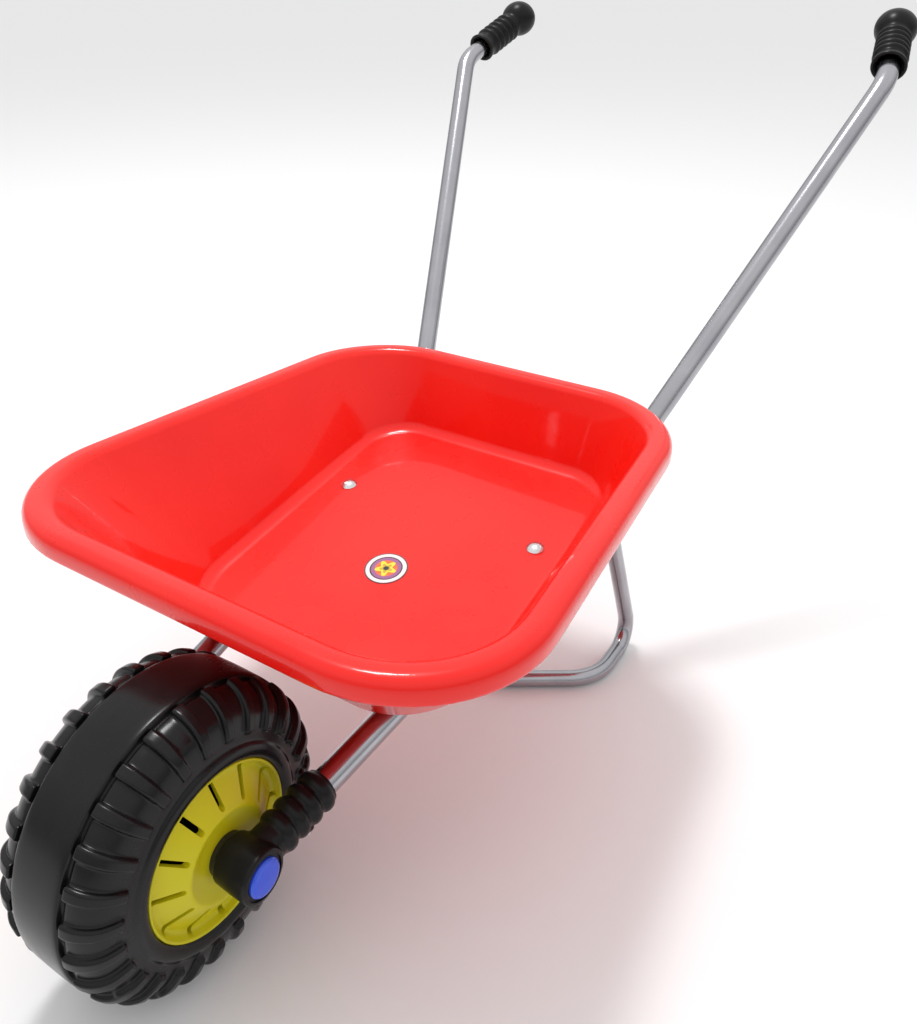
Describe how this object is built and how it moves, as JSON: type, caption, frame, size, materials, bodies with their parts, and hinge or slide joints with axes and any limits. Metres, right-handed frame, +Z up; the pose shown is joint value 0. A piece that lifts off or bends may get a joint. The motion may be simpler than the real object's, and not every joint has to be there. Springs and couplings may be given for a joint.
{
  "type": "wheelbarrow",
  "caption": "Child's garden wheelbarrow: round-cornered pressed tray on bent tube rails, loop stand, ribbed ball-end grips and a wide ribbed wheel that spins on its axle.",
  "frame": {"origin": "on the ground, under the middle of the overall length and width", "axes": "+X towards the wheel, +Y to the barrow's left, +Z up"},
  "size_m": [0.796, 0.405, 0.4727],
  "materials": {
    "tray_paint": "glossy bright red enamel over pressed steel",
    "tube_steel": "plated steel tube, bright along its length",
    "grip_plastic": "black moulded grip, slightly dull",
    "holder_plastic": "black moulded plastic, soft sheen",
    "cap_plastic": "bright blue moulded cap",
    "screw_steel": "blackened screw",
    "bolt_steel": "bright plated fastener",
    "label_film": null,
    "axle_steel": "drawn steel rod",
    "tyre_plastic": "black blow-moulded tyre, soft sheen on the ribs",
    "hub_plastic": "mustard yellow moulded hub",
    "bush_plastic": "black slippery bush"
  },
  "bodies": {
    "frame": {"tray": "tray_paint", "left_rail": "tube_steel", "right_rail": "tube_steel", "stand": "tube_steel", "left_grip": "grip_plastic", "right_grip": "grip_plastic", "left_axle_holder": "holder_plastic", "right_axle_holder": "holder_plastic", "left_axle_cap": "cap_plastic", "right_axle_cap": "cap_plastic", "holder_screws": "screw_steel", "tray_bolts": "bolt_steel", "tray_washers": "bolt_steel", "tray_nuts": "bolt_steel", "stand_bolts": "bolt_steel", "stand_washers": "bolt_steel", "stand_nuts": "bolt_steel", "floor_label": "label_film", "axle": "axle_steel"},
    "wheel": {"tyre": "tyre_plastic", "left_hub": "hub_plastic", "right_hub": "hub_plastic", "axle_bushes": "bush_plastic"}
  },
  "joints": [
    {"name": "wheel_spin", "type": "hinge", "parent": "frame", "child": "wheel", "pos_m": [0.313, 0, 0.085], "axis": [0, 1, 0], "continuous": true}
  ]
}
